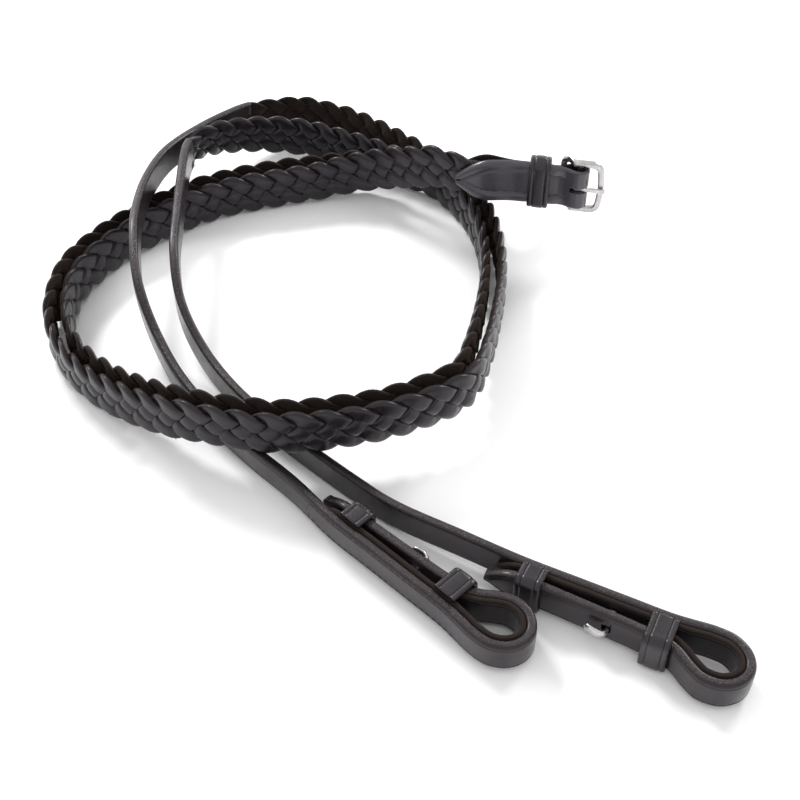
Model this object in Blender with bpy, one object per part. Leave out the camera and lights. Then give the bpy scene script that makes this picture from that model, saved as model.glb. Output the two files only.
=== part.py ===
"""A pair of plaited leather bridle reins, coiled twice on a flat surface.

Every strap stands on its edge. The buckle rein lies inside the point rein, with
their flesh sides together. Each rein runs from the loop that takes the bit ring,
along a plain hand strap, through a plait of four strands, to its end: one has a
pointed strap, and the other the buckle that joins them.
"""

import math

import bmesh
import bpy
import numpy as np
from mathutils import Matrix, Vector

MM = 0.001                       # every size below is in millimetres
LAYOUT_CENTRE = (-16.2, 388.3)   # the middle of the layout, which is moved to the origin

# Driving dimensions
GAP = 0.35                       # clearance between pieces that touch
STRAP_WIDTH = 12.7
STRAP_THICKNESS = 3.6
LINER_THICKNESS = 2.0
PLAIT_WIDTH = 21.6
PLAIT_PITCH = 10.5               # advance of the plait from one edge lobe to the next
STRAND_THICKNESS = 2.2
KEEPER_LENGTH = 9.5
KEEPER_WALL = 1.6
CHAPE_WIDTH = 22.4
CHAPE_FOLD_WIDTH = 18.0
CHAPE_LEATHER = 1.6
POINT_WIDTH = 12.7
POINT_THICKNESS = 3.2
BAR_RADIUS = 1.3
FRAME_REAR = 8.6                 # from the centre bar to the outside of the rear bar
FRAME_FRONT = 10.2               # and to the outside of the front bar, at its ends
FRAME_CRANK = 4.0                # the rear bar is set back this far, behind the chape
FRAME_HEIGHT = 26.6

# How high the middle of a strap runs when it stands on the surface
STRAP_REST = STRAP_WIDTH / 2
KEEPER_REST = STRAP_REST + GAP + KEEPER_WALL

# The folded end, seen from above: distance forward towards the bit ring, and
# distance out to the flesh side. It runs from the billet's tip round the loop.
BIT_END = [
    (-61, 7.4), (-53, 7.1), (-44, 7.1), (-30, 7.6), (-16, 8.2), (-3, 8.9), (5, 9.8),
    (10.5, 12.2), (14.8, 15.3), (20, 17.9), (26.5, 17.5), (31.5, 13.8), (33.2, 8.4), (31, 2.8),
    (25.5, -0.9), (18.4, -1.5), (11, -0.7), (3, 0), (-12, 0), (-30, 0), (-50, 0),
]
FRONT_KEEPER_AT = 2
REAR_KEEPER_AT = -44
HOOK_AT = -15
LINER_REACH = (-68, 12)

# The plain strap of each rein from the folded end to the plait: x, y and height
POINT_STRAP_ROUTE = [
    (-39.5, 312, 8.1), (-60.5, 334, 7.0), (-84, 362, 7.4), (-99, 387, 12.4), (-108.5, 409, 22.8),
    (-112.5, 432, 28.6), (-113.8, 452, 29.0), (-112, 472, 28.9), (-106.5, 494, 27.0), (-95, 516, 23.5),
    (-83, 531, 21.0), (-73.5, 540, 19.0),
]
BUCKLE_STRAP_ROUTE = [
    (21.5, 287, 8.2), (-1, 300.5, 7.2), (-16, 313, 6.6), (-40, 335, 6.5), (-62, 357, 7.2),
    (-79, 380, 9.6), (-90, 400, 18.6), (-94.5, 422, 27.6), (-96, 446, 29.0), (-97, 468, 29.0),
    (-97.5, 486, 28.8), (-96.8, 499, 26.6),
]
# The plait of the point rein, which is the outer one all the way round
OUTER_PLAIT_ROUTE = [
    (-63, 546, 16.5), (-48.5, 550.5, 14.2), (-34.5, 547.5, 12.6), (-22, 542, 11.3), (-10, 533.5, 11.0),
    (8, 517.5, 11.0), (25, 499, 11.0), (38, 476, 11.0), (43.5, 450, 11.0), (43.5, 425, 12.0),
    (40, 400, 15.6), (35, 374, 20.4), (27, 350.6, 23.6), (8, 337.3, 24.3), (-17, 328.9, 24.3),
    (-48, 325.6, 24.3), (-76, 331.7, 23.5), (-97, 343, 17.8), (-121, 361.6, 11.6), (-137.5, 380, 11.0),
    (-146, 402, 11.0), (-144.5, 430, 11.0), (-131.5, 453, 11.0), (-112, 473, 11.0), (-88, 489.5, 11.0),
    (-61, 499.5, 11.0), (-44, 503, 11.1), (-27, 505.4, 11.9), (-10, 503.6, 14.4), (2, 497.4, 19.6),
]
# On from there to the tip of the point, behind the buckle's chape
POINT_ROUTE = [
    (12, 490.2, 25.2), (20, 485, 28.4), (29, 481.5, 28.8), (38, 480.4, 28.6), (48, 481.6, 25.0),
    (57, 485, 18.0), (65, 489.5, 11.0),
]
# The inner plait has its own way at both ends and follows the outer one between them
INNER_PLAIT_START = [
    (-92, 508.5, 26.0), (-82, 519.5, 21.6), (-69, 527, 17.6), (-55, 530.3, 14.6), (-40, 529.5, 12.4),
    (-24, 524.0, 11.0), (-8.5, 516, 11.0), (7, 505.5, 11.0),
]
INNER_PLAIT_END = [
    (-40, 496.8, 11.8), (-27, 498.5, 14.2), (-14, 496.0, 18.8), (-3, 490.0, 24.6), (6.5, 483.6, 30.0),
    (15.5, 478.4, 33.9),
]
PLAIT_SPACING = 6.8              # between the middles of the two plaits
CHAPE_TIP = (25.5, 472.4, 35.0)
BUCKLE_BAR = (77.9, 462.5, 35.0)

COLOURS = {
    # name: (base colour, roughness, metallic)
    "Smooth leather": ((0.020, 0.016, 0.017, 1.0), 0.42, 0.0),
    "Liner leather": ((0.032, 0.020, 0.015, 1.0), 0.70, 0.0),
    "Plaited leather": ((0.014, 0.011, 0.012, 1.0), 0.50, 0.0),
    "Waxed thread": ((0.022, 0.018, 0.017, 1.0), 0.65, 0.0),
    "Stainless steel": ((0.62, 0.60, 0.57, 1.0), 0.28, 1.0),
}


# ------------------------------------------------------------------ scene and materials

def clear_scene():
    """Remove every object, so that the model starts from nothing."""
    for old in list(bpy.data.objects):
        bpy.data.objects.remove(old, do_unlink=True)


def new_collection(name):
    collection = bpy.data.collections.new(name)
    bpy.context.scene.collection.children.link(collection)
    return collection


def make_material(name):
    colour, roughness, metallic = COLOURS[name]
    material = bpy.data.materials.new(name)
    material.use_nodes = True
    shader = material.node_tree.nodes["Principled BSDF"]
    shader.inputs["Base Color"].default_value = colour
    shader.inputs["Roughness"].default_value = roughness
    shader.inputs["Metallic"].default_value = metallic
    return material


def add_part(name, mesh, material, matrix=None):
    """Put a mesh in the scene as one named part of the reins."""
    part = bpy.data.objects.new(name, mesh)
    mesh.materials.clear()
    mesh.materials.append(make_material(material))
    PARTS.objects.link(part)
    if matrix is not None:
        part.matrix_world = matrix
    return part


# ------------------------------------------------------------------ routes

def curve_through(points, steps=16):
    """A smooth curve (Catmull-Rom) through the given points."""
    points = np.asarray(points, float)
    before = 2 * points[0] - points[1]
    after = 2 * points[-1] - points[-2]
    padded = np.vstack([before, points, after])
    t = np.linspace(0, 1, steps, endpoint=False)[:, None]
    stretches = []
    for a, b, c, d in zip(padded, padded[1:], padded[2:], padded[3:]):
        stretches.append(0.5 * (2 * b + (c - a) * t + (2 * a - 5 * b + 4 * c - d) * t ** 2
                                + (3 * b - a - 3 * c + d) * t ** 3))
    stretches.append(points[-1:])
    return np.vstack(stretches)


def unit(vector):
    return vector / np.linalg.norm(vector)


class Route:
    """A line in space that a strap follows, with the strap's directions along it.

    A strap's width stands along `up`, as nearly as the line allows, and its
    thickness lies across: to the left of the line is positive.
    """

    def __init__(self, points, up=(0, 0, 1), smooth=True):
        self.points = curve_through(points) if smooth else np.asarray(points, float)
        steps = np.linalg.norm(np.diff(self.points, axis=0), axis=1)
        self.along = np.concatenate([[0], np.cumsum(steps)])
        self.length = self.along[-1]
        self.up = np.asarray(up, float)

    def at(self, s):
        return np.array([np.interp(s, self.along, self.points[:, axis]) for axis in range(3)])

    def directions(self, s, reach=1.2):
        """Unit vectors forward, across to the left, and up."""
        ahead = self.at(min(s + reach, self.length))
        behind = self.at(max(s - reach, 0))
        forward = unit(ahead - behind)
        across = unit(np.cross(self.up, forward))
        return forward, across, np.cross(forward, across)

    def place(self, s, across=0.0, height=0.0):
        _, left, up = self.directions(s)
        return self.at(s) + across * left + height * up

    def nearest_in_space(self, point):
        return self.along[np.argmin(np.linalg.norm(self.points - point, axis=1))]

    def nearest(self, point, first=0.0, last=None):
        """How far along the route it passes closest to a point, seen from above."""
        last = self.length if last is None else last
        inside = np.flatnonzero((self.along >= first) & (self.along <= last))
        away = np.linalg.norm(self.points[inside, :2] - np.asarray(point)[:2], axis=1)
        return self.along[inside[np.argmin(away)]]

    def stations(self, start, end, longest=9.0, sharpest=14.0, fixed=()):
        """Places for cross-sections, closer together where the route bends."""
        places = [start]
        probe = start
        while probe < end:
            probe = min(probe + 0.5, end)
            turned = np.dot(self.directions(places[-1])[0], self.directions(probe)[0])
            bend = math.degrees(math.acos(max(-1.0, min(1.0, turned))))
            if bend > sharpest or probe - places[-1] > longest:
                places.append(probe)
        if end - places[-1] < 0.5:
            places.pop()
        return sorted({round(s, 3) for s in places + [end] + list(fixed)})


def from_layout(points):
    """Move layout points so that the middle of the layout is the origin."""
    shift = np.array([LAYOUT_CENTRE[0], LAYOUT_CENTRE[1], 0])
    return [tuple(np.asarray(point, float) - shift) for point in points]


# ------------------------------------------------------------------ lofted straps

def loft(name, rings, material):
    """A closed solid through matching rings of points, with a flat cap on each end."""
    mesh = bpy.data.meshes.new(name)
    shape = bmesh.new()
    levels = [[shape.verts.new(Vector(point) * MM) for point in ring] for ring in rings]
    for lower, upper in zip(levels, levels[1:]):
        for a, b, c, d in zip(lower, lower[1:] + lower[:1], upper[1:] + upper[:1], upper):
            shape.faces.new((a, b, c, d))
    shape.faces.new(levels[0][::-1])
    shape.faces.new(levels[-1])
    if shape.calc_volume(signed=True) < 0:
        bmesh.ops.reverse_faces(shape, faces=shape.faces)
    shape.to_mesh(mesh)
    shape.free()
    return add_part(name, mesh, material)


def strap_ring(route, s, across, width, thickness, corner):
    """An eight-sided cross-section: a rectangle with its corners taken off."""
    w, t = width / 2, thickness / 2
    c = min(corner, 0.6 * w, 0.6 * t)
    outline = [(t - c, -w), (t, c - w), (t, w - c), (t - c, w),
               (c - t, w), (-t, w - c), (-t, c - w), (c - t, -w)]
    return [route.place(s, across + side, height) for side, height in outline]


def value_at(size, s):
    return size(s) if callable(size) else size


def strap(name, route, places, width, thickness, material, across=0.0, corner=0.7):
    rings = [strap_ring(route, s, value_at(across, s), value_at(width, s), thickness, corner)
             for s in places]
    return loft(name, rings, material)


def pointed(start, full_at, width, least=0.18):
    """A width that grows from a rounded point at `start` to full at `full_at`."""
    def at(s):
        share = max(0.0, min(1.0, (s - start) / (full_at - start)))
        return width * (least + (1 - least) * math.sin(share * math.pi / 2))
    return at


# ------------------------------------------------------------------ the folded bit ends

class BitEnd:
    """Where one rein's folded end lies, and which way round it is."""

    def __init__(self, name, main_at, heading, flesh, strap_route, rest):
        self.name = name
        self.heading = unit(np.array([*heading, 0.0]))
        self.out = flesh * np.cross((0, 0, 1), -self.heading)
        self.origin = np.array([*main_at, KEEPER_REST + 0.06])
        self.flesh = flesh
        folded = [self.spot(forward, out) for forward, out in BIT_END]
        self.route = Route(from_layout(folded + strap_route) + rest)
        self.loop_tip = self.nearest(32, 8)
        self.splice = self.route.nearest(from_layout(strap_route[-1:])[0])

    def spot(self, forward, out, height=0.0):
        return self.origin + forward * self.heading + out * self.out + np.array([0, 0, height])

    def nearest(self, forward, out, first=0.0, last=200.0):
        return self.route.nearest(from_layout([self.spot(forward, out)])[0], first, last)

    def main(self, forward):
        """Along the route, on the main strap, at a distance forward."""
        return self.nearest(forward, 0, first=self.loop_tip)

    def billet(self, forward):
        return self.nearest(forward, 10, last=self.loop_tip)


def make_strap(end):
    """The hand strap: pointed billet, loop, and the main run up to the plait."""
    route = end.route
    point_length = 9.0
    widening = 34.0

    def width(s):
        if s < point_length:
            return pointed(0, point_length, STRAP_WIDTH)(s)
        grown = max(0.0, (s - (end.splice - widening)) / widening)
        return STRAP_WIDTH + (PLAIT_WIDTH * plait_growth(0) - STRAP_WIDTH) * grown ** 1.5

    places = route.stations(0, end.splice - GAP, fixed=(1.0, 3.0, 6.0, point_length))
    made = strap(end.name + "_strap", route, places, width, STRAP_THICKNESS, "Smooth leather")
    hole = end.billet(HOOK_AT)
    bpy.ops.mesh.primitive_cube_add(size=1)
    slit = bpy.context.object
    slit.name = end.name + "_slit_cutter"
    forward, across, up = route.directions(hole)
    slit.matrix_world = basis_matrix(route.at(hole), forward, across, up)
    slit.scale = (4.4 * MM, 9.0 * MM, 3.2 * MM)
    cut_with(made, slit)


def make_liner(end):
    """The thin liner along the flesh side, which turns into the loop."""
    offset = end.flesh * (STRAP_THICKNESS / 2 + GAP + LINER_THICKNESS / 2)
    start = end.main(LINER_REACH[1])
    finish = end.main(LINER_REACH[0])
    under_keeper = end.billet(FRONT_KEEPER_AT - 3)
    taper = pointed(finish, finish - 10, STRAP_WIDTH)
    places = end.route.stations(under_keeper, finish, fixed=(start, finish - 1, finish - 4, finish - 10))
    strap(end.name + "_liner", end.route, places,
          lambda s: taper(min(s, finish)) if s > finish - 10 else STRAP_WIDTH,
          LINER_THICKNESS, "Liner leather", across=offset, corner=0.4)


def band(name, centre, forward, outward, path, length, material="Smooth leather", wall=KEEPER_WALL):
    """A leather band bent along a path, given as (outward, sideways) points."""
    sideways = np.cross(forward, outward)
    points = [centre + outward * out + sideways * side for out, side in path]
    route = Route(points, up=forward)
    places = route.stations(0, route.length, longest=8, sharpest=24)
    return strap(name, route, places, length, wall, material, corner=0.55)


def open_band_path(base, reach, half):
    """Up one side, across and down the other, with rounded corners."""
    r = 1.5
    return [(base, -half), (reach - 3.5, -half), (reach - r, -half), (reach - 0.28 * r, 0.72 * r - half),
            (reach, 1.6 * r - half), (reach, 0), (reach, half - 1.6 * r),
            (reach - 0.28 * r, half - 0.72 * r), (reach - r, half), (reach - 3.5, half), (base, half)]


def make_keeper(end, forward, kind):
    """A fixed keeper: it holds the billet down on the liner."""
    s = end.main(forward)
    ahead, across, _ = end.route.directions(s)
    out = across * end.flesh
    middle = end.route.at(s)
    billet = end.route.at(end.billet(forward))
    nearest_edge = [end.route.at(end.billet(forward + slack)) for slack in (-5.5, 5.5)]
    depth = max(float(np.dot(spot - middle, out)) for spot in nearest_edge + [billet])
    reach = depth + STRAP_THICKNESS / 2 + GAP + KEEPER_WALL / 2
    base = STRAP_THICKNESS / 2 + GAP
    half = STRAP_WIDTH / 2 + GAP + KEEPER_WALL / 2
    band(end.name + kind, middle, ahead, out, open_band_path(base, reach, half), KEEPER_LENGTH)


def make_hook_stud(end):
    """The stud: a plate on the liner, and a flat hook that passes through the billet."""
    hole = end.route.at(end.billet(HOOK_AT))
    s = end.main(HOOK_AT)
    middle = end.route.at(s)
    ahead, across, up = end.route.directions(s)
    out = across * end.flesh
    toward_bit = -ahead
    floor_of_plate = STRAP_THICKNESS / 2 + 2 * GAP + LINER_THICKNESS
    rise = float(np.dot(hole - middle, out))
    crown = rise + STRAP_THICKNESS / 2 + 3.4
    path = [(0.2, floor_of_plate + 0.5), (0.2, rise), (0.2, crown - 2.4), (-0.5, crown - 0.6),
            (-2.4, crown), (-4.6, crown - 0.3), (-6.6, crown - 1.4)]
    start = hole - out * rise
    points = [start + toward_bit * along + out * height for along, height in path]
    widths = [2.2, 2.2, 2.2, 2.4, 3.0, 3.2, 1.8]
    hook = Route(points, up=up)
    marks = [hook.nearest_in_space(point) for point in points]

    def width(s_hook):
        return float(np.interp(s_hook, marks, widths))

    places = hook.stations(0, hook.length, longest=3, sharpest=20)
    stud = strap(end.name + "_hook_stud", hook, places, width, 1.8, "Stainless steel", corner=0.6)
    bpy.ops.mesh.primitive_cylinder_add(vertices=20, radius=3.6 * MM, depth=1.0 * MM)
    plate = bpy.context.object
    plate.name = end.name + "_stud_plate"
    seat = start + out * (floor_of_plate + 0.5)
    plate.matrix_world = basis_matrix(seat, toward_bit, np.cross(out, toward_bit), out)
    join_with(stud, plate)


def make_stitching(end):
    """One run of thread: along one edge of the grain side, round, and back."""
    side = -end.flesh * (STRAP_THICKNESS / 2 + GAP + 0.25)
    first, last = end.main(10), end.main(LINER_REACH[0] + 2)
    row = STRAP_WIDTH / 2 - 1.6
    spots = [(s, -row) for s in np.arange(first, last, 6.0)]
    spots += [(last + row * math.sin(turn), -row * math.cos(turn)) for turn in np.linspace(0, math.pi, 7)]
    spots += [(s, row) for s in np.arange(first, last, 6.0)[::-1]]
    thread(end.name + "_stitching", [end.route.place(s, side, height) for s, height in spots])


# ------------------------------------------------------------------ tubes, outlines and joins

def basis_matrix(origin, x_axis, y_axis, z_axis):
    """A world matrix in metres, from an origin and three directions."""
    matrix = Matrix.Identity(4)
    for column, axis in enumerate((x_axis, y_axis, z_axis)):
        for row in range(3):
            matrix[row][column] = axis[row]
    for row in range(3):
        matrix[row][3] = origin[row] * MM
    return matrix


def mesh_from_curve(curve, name):
    """The curve's mesh, with the caps welded on."""
    holder = bpy.data.objects.new(name + "_curve", curve)
    bpy.context.scene.collection.objects.link(holder)
    graph = bpy.context.evaluated_depsgraph_get()
    mesh = bpy.data.meshes.new_from_object(holder.evaluated_get(graph))
    bpy.data.objects.remove(holder, do_unlink=True)
    shape = bmesh.new()
    shape.from_mesh(mesh)
    bmesh.ops.remove_doubles(shape, verts=shape.verts, dist=0.00001)
    bmesh.ops.recalc_face_normals(shape, faces=shape.faces)
    shape.to_mesh(mesh)
    shape.free()
    mesh.name = name
    return mesh


def thread(name, points, radius=0.28):
    curve = bpy.data.curves.new(name, "CURVE")
    curve.dimensions = "3D"
    curve.bevel_depth = radius * MM
    curve.bevel_resolution = 0
    curve.use_fill_caps = True
    line = curve.splines.new("POLY")
    line.points.add(len(points) - 1)
    for knot, point in zip(line.points, points):
        knot.co = (*(Vector(point) * MM), 1.0)
    return add_part(name, mesh_from_curve(curve, name), "Waxed thread")


def plate_from_outlines(name, outlines, thickness, rounding):
    """A flat plate with rounded edges; the first outline is its rim, the rest are windows."""
    curve = bpy.data.curves.new(name, "CURVE")
    curve.dimensions = "2D"
    curve.fill_mode = "BOTH"
    curve.extrude = (thickness / 2 - rounding) * MM
    curve.bevel_depth = rounding * MM
    curve.bevel_resolution = 1
    curve.offset = -rounding * MM
    for outline in outlines:
        line = curve.splines.new("POLY")
        line.points.add(len(outline) - 1)
        line.use_cyclic_u = True
        for knot, (x, y) in zip(line.points, outline):
            knot.co = (x * MM, y * MM, 0.0, 1.0)
    return mesh_from_curve(curve, name)


def apply_boolean(target, tool, operation):
    """Cut or join with a Boolean, and keep the tool hidden among the cutters."""
    for collection in list(tool.users_collection):
        collection.objects.unlink(tool)
    CUTTERS.objects.link(tool)
    tool.hide_render = True
    tool.display_type = "WIRE"
    change = target.modifiers.new(tool.name, "BOOLEAN")
    change.operation = operation
    change.object = tool
    change.solver = "EXACT"


def cut_with(target, tool):
    apply_boolean(target, tool, "DIFFERENCE")


def join_with(target, tool):
    apply_boolean(target, tool, "UNION")


def rounded_box(x0, x1, y0, y1, radius, bulge=0.0, along=(), steps=3):
    """A rounded rectangle, whose side at x1 may swell outwards, with extra points
    on its long sides at the given places along."""
    corners = [(x1 - radius, y1 - radius, 0), (x0 + radius, y1 - radius, 90),
               (x0 + radius, y0 + radius, 180), (x1 - radius, y0 + radius, 270)]
    straight = sorted(x for x in along if x0 + radius < x < x1 - radius)
    points = []
    for cx, cy, first in corners:
        for step in range(steps + 1):
            turn = math.radians(first + 90 * step / steps)
            points.append((cx + radius * math.cos(turn), cy + radius * math.sin(turn)))
        if first == 0:
            points += [(x, y1) for x in straight[::-1]]
        if first == 180:
            points += [(x, y0) for x in straight]
    if bulge:
        half = (y1 - y0) / 2
        points.append((x1 + bulge * 0.75, y0 + half * 0.5))
        points.append((x1 + bulge, y0 + half))
        points.append((x1 + bulge * 0.75, y0 + half * 1.5))
    return points


# ------------------------------------------------------------------ the plaits

def plait_growth(along, least=0.7, length=75.0):
    """The plait starts narrow and grows to its full width, and narrows again at its end."""
    share = min(1.0, max(0.0, along / length))
    return least + (1 - least) * math.sin(share * math.pi / 2)


def plait_strand(name, route, start, lobes, number):
    """One of four strands that run from edge to edge, on the grain side one way
    and on the flesh side the other way, and fold over at each edge.

    Everything is worked out as if the plait were straight, as (along, height,
    across), and then carried onto the route.
    """
    layer = STRAND_THICKNESS / 2 + 0.7 * GAP
    ribbon = 5.25
    swing = 7.35
    lean = math.atan2(swing, PLAIT_PITCH)
    fold = 1.45
    total = lobes * PLAIT_PITCH
    knots = []
    for turn in range(-3, lobes + 4):
        if (turn - number) % 2:
            continue
        s = turn * PLAIT_PITCH
        edge = swing if ((turn - number) // 2) % 2 else -swing
        step = math.copysign(fold * math.tan(lean), edge)
        before, after = math.copysign(layer, edge), -math.copysign(layer, edge)
        knots += [(s - fold, edge - step, before), (s, edge, 0.0), (s + fold, edge - step, after),
                  (s + PLAIT_PITCH, 0.0, after)]
    knots = np.array(knots)

    def centre(s):
        return np.array([np.interp(s, knots[:, 0], knots[:, 1]), np.interp(s, knots[:, 0], knots[:, 2])])

    inside = [s for s in knots[:, 0] if 0.4 < s < total - 0.4]
    places = [0.0] + inside + [total]
    for a, b in zip(places, places[1:]):
        turned = np.dot(route.directions(start + a)[0], route.directions(start + b)[0])
        if turned < math.cos(math.radians(7)):
            inside.append((a + b) / 2)
    rings = []
    for s in sorted([0.0] + inside + [total]):
        height, across = centre(s)
        slope = (centre(s + 0.3)[0] - centre(s - 0.3)[0]) / 0.6
        at_edge = abs(abs(height) - swing) < 0.01
        if at_edge or s in (0.0, total):
            lengthwise, upright = 0.0, ribbon / 2 / math.cos(lean)
        else:
            lengthwise = -math.copysign(math.sin(lean), slope) * ribbon / 2
            upright = math.cos(lean) * ribbon / 2
        thick = STRAND_THICKNESS / 2
        corners = [(1, thick), (-1, thick), (-1, -thick), (1, -thick)]
        growth = min(plait_growth(s), plait_growth(total - s, least=0.62, length=18.0))
        rings.append([route.place(start + s + sign * lengthwise, across + side,
                                  growth * (height + sign * upright))
                      for sign, side in corners])
    return loft(name, rings, "Plaited leather")


def make_plait(name, route, start, finish):
    lobes = int((finish - start) // PLAIT_PITCH)
    for number in range(4):
        plait_strand(f"{name}_plait_strand_{number + 1}", route, start, lobes, number)
    return start + lobes * PLAIT_PITCH


def inner_plait_route(outer):
    """The inner plait's points: its own start, beside the outer plait, and its own end."""
    first = outer.nearest(from_layout([(22, 502.4, 0)])[0], last=200)
    last = outer.nearest(from_layout([(-61, 499.5, 0)])[0], first=450)
    beside = [outer.place(s, across=-PLAIT_SPACING) for s in np.arange(first, last, 20.0)]
    return from_layout(INNER_PLAIT_START) + beside + from_layout(INNER_PLAIT_END)


# ------------------------------------------------------------------ the point strap

def make_point_strap(route, start):
    """The point: a plain pointed strap with three holes for the buckle's tongue."""
    finish = route.length - 1.0
    taper = 12.0

    def width(s):
        if s > finish - taper:
            share = (finish - s) / taper
            return POINT_WIDTH * (0.2 + 0.8 * math.sin(share * math.pi / 2))
        return POINT_WIDTH

    places = route.stations(start, finish, fixed=(finish - 1, finish - 4, finish - 8, finish - taper))
    point = strap("point_strap", route, places, width, POINT_THICKNESS, "Smooth leather")
    for hole in range(3):
        s = finish - taper - 3 - 12 * hole
        forward, across, up = route.directions(s)
        bpy.ops.mesh.primitive_cylinder_add(vertices=10, radius=1.5 * MM, depth=8 * MM)
        punch = bpy.context.object
        punch.name = f"point_hole_cutter_{hole + 1}"
        punch.matrix_world = basis_matrix(route.at(s), up, forward, across)
        cut_with(point, punch)


# ------------------------------------------------------------------ the buckle end

class BuckleEnd:
    """The straight stitched end that holds the buckle, measured back from its bar."""

    def __init__(self):
        tip, bar = (np.array(spot) for spot in from_layout([CHAPE_TIP, BUCKLE_BAR]))
        self.bar = bar
        self.length = np.linalg.norm(bar - tip)
        self.forward = unit(bar - tip)
        self.across = unit(np.cross((0, 0, 1), self.forward))
        self.up = np.cross(self.forward, self.across)

    def spot(self, along, across, height=0.0):
        return self.bar + along * self.forward + across * self.across + height * self.up


def chape_half_spread(along):
    """Half the distance between the middles of the two layers."""
    over_plait = STRAND_THICKNESS + GAP * 2.5 + CHAPE_LEATHER / 2
    flat = GAP / 2 + CHAPE_LEATHER / 2
    round_bar = BAR_RADIUS + 1.5 + CHAPE_LEATHER / 2
    return float(np.interp(along, [-60, -41, -33, -24, -21.5, -8.5, -6, -2.5, 0],
                           [over_plait, over_plait, flat + 0.12, flat + 0.12, flat, flat, 1.6, 3.1, round_bar]))


def make_chape(end):
    """One piece of leather: from its point to the bar, round it, and back to its other point."""
    runs = [-end.length, -end.length + 1.5, -end.length + 4, -end.length + 8, -41, -37, -33,
            -24, -21.5, -12.5, -8.5, -6, -4, -2]
    spread = [chape_half_spread(along) for along in runs]
    front = [(along, -out) for along, out in zip(runs, spread)]
    back = [(along, out) for along, out in zip(runs, spread)][::-1]
    radius = chape_half_spread(0)
    arc = [(radius * math.sin(turn), -radius * math.cos(turn)) for turn in np.linspace(0, math.pi, 9)]
    path = front + arc + back
    route = Route([end.spot(*point) for point in path], up=end.up, smooth=False)

    def width(s):
        along = float(np.dot(route.at(s) - end.bar, end.forward))
        from_tip = along + end.length
        shaped = pointed(0, 17, CHAPE_WIDTH, least=0.16)(from_tip)
        fold = CHAPE_FOLD_WIDTH / CHAPE_WIDTH
        full = 1 if s < route.length / 2 else 0.85
        return shaped * float(np.interp(along, [-33, -24, -21.5, -12.5, -8.5, 2],
                                        [full, 1, 0.95, 0.93, 0.86, fold]))

    places = [float(s) for s in route.along]
    chape = strap("buckle_chape", route, places, width, CHAPE_LEATHER, "Smooth leather", corner=0.5)
    bpy.ops.mesh.primitive_cube_add(size=1)
    slot = bpy.context.object
    slot.name = "tongue_slot_cutter"
    slot.matrix_world = basis_matrix(end.spot(2.5, -1.2), end.forward, end.across, end.up)
    slot.scale = (12 * MM, 8.6 * MM, 2.8 * MM)
    cut_with(chape, slot)


def make_chape_keeper(end, along=-17.0, length=9.2):
    """A closed band round both layers, whose ends butt together at the back."""
    side = chape_half_spread(along) + CHAPE_LEATHER / 2 + GAP + KEEPER_WALL / 2
    half = CHAPE_WIDTH * 0.95 / 2 + GAP + KEEPER_WALL / 2
    r = 1.5
    path = [(-side, -GAP), (-side, r - half), (-side * 0.75, 0.35 - half), (r - side, -half),
            (side - r, -half), (side * 0.75, 0.35 - half), (side, r - half), (side, 0)]
    path += [(out, -height) for out, height in path[-2::-1]]
    band("chape_keeper", end.spot(along, 0), end.forward, -end.across, path, length)


def make_chape_stitching(end):
    """The thread along both edges of the front layer, which meet at its point."""
    def row(along):
        out = -(chape_half_spread(along) + CHAPE_LEATHER / 2 + GAP + 0.25)
        reach = pointed(0, 17, CHAPE_WIDTH, least=0.16)(along + end.length) / 2
        return out, max(0.0, reach - 2.2)
    places = [-23.5, -28, -33, -37, -41, -end.length + 8, -end.length + 5, -end.length + 3]
    lower = [end.spot(along, row(along)[0], -row(along)[1]) for along in places]
    upper = [end.spot(along, row(along)[0], row(along)[1]) for along in places[::-1]]
    thread("chape_stitching", lower + upper)


def buckle_matrix(end):
    """On the centre bar: X runs forward along the frame, Y up, and Z out of its front."""
    return basis_matrix(end.bar, end.forward, end.up, np.cross(end.forward, end.up))


def make_buckle_frame(end):
    """A swelled frame with a centre bar, and a rear bar cranked back behind the chape."""
    half = FRAME_HEIGHT / 2
    rear, front = -FRAME_REAR, FRAME_FRONT
    rail, side_bar = 2.9, 2.5
    bends = (-5.9, -4.7, -3.6, -2.4)
    rim = rounded_box(rear, front, -half, half, 4.2, bulge=1.3, along=bends)
    rear_window = rounded_box(rear + side_bar, -BAR_RADIUS, rail - half, half - rail, 1.0, along=bends)
    front_window = rounded_box(BAR_RADIUS, front - side_bar, rail - half, half - rail, 1.8)
    mesh = plate_from_outlines("buckle_frame", [rim, rear_window, front_window], 2.6, 0.75)
    for vertex in mesh.vertices:
        share = max(0.0, min(1.0, (-2.4 - vertex.co.x / MM) / 3.5))
        vertex.co.z -= FRAME_CRANK * MM * share * share * (3 - 2 * share)
    add_part("buckle_frame", mesh, "Stainless steel", buckle_matrix(end))


def make_buckle_tongue(end):
    """The tongue: an eye round the centre bar, and a pin that rests on the front bar."""
    inner, outer = 1.65, 2.5
    under, over, tip = 1.65, 2.9, 11.9
    first = math.asin(under / outer)
    eye = []
    for step in range(15):
        turn = first - (math.pi * 1.5 + first) * step / 14
        eye.append((outer * math.cos(turn), outer * math.sin(turn)))
    pin = [(6.0, over), (tip - 1.0, over), (tip, over - 0.4), (tip, under + 0.4), (tip - 1.0, under)]
    hole = [(inner * math.cos(turn), inner * math.sin(turn))
            for turn in np.linspace(0, 2 * math.pi, 16, endpoint=False)]
    mesh = plate_from_outlines("buckle_tongue", [eye + pin, hole], 2.0, 0.25)
    stand = Matrix.Rotation(math.radians(90), 4, "X")
    add_part("buckle_tongue", mesh, "Stainless steel", buckle_matrix(end) @ stand)


# ------------------------------------------------------------------ assembly

clear_scene()
PARTS = new_collection("plaited_leather_reins")
CUTTERS = new_collection("cutters")

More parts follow.
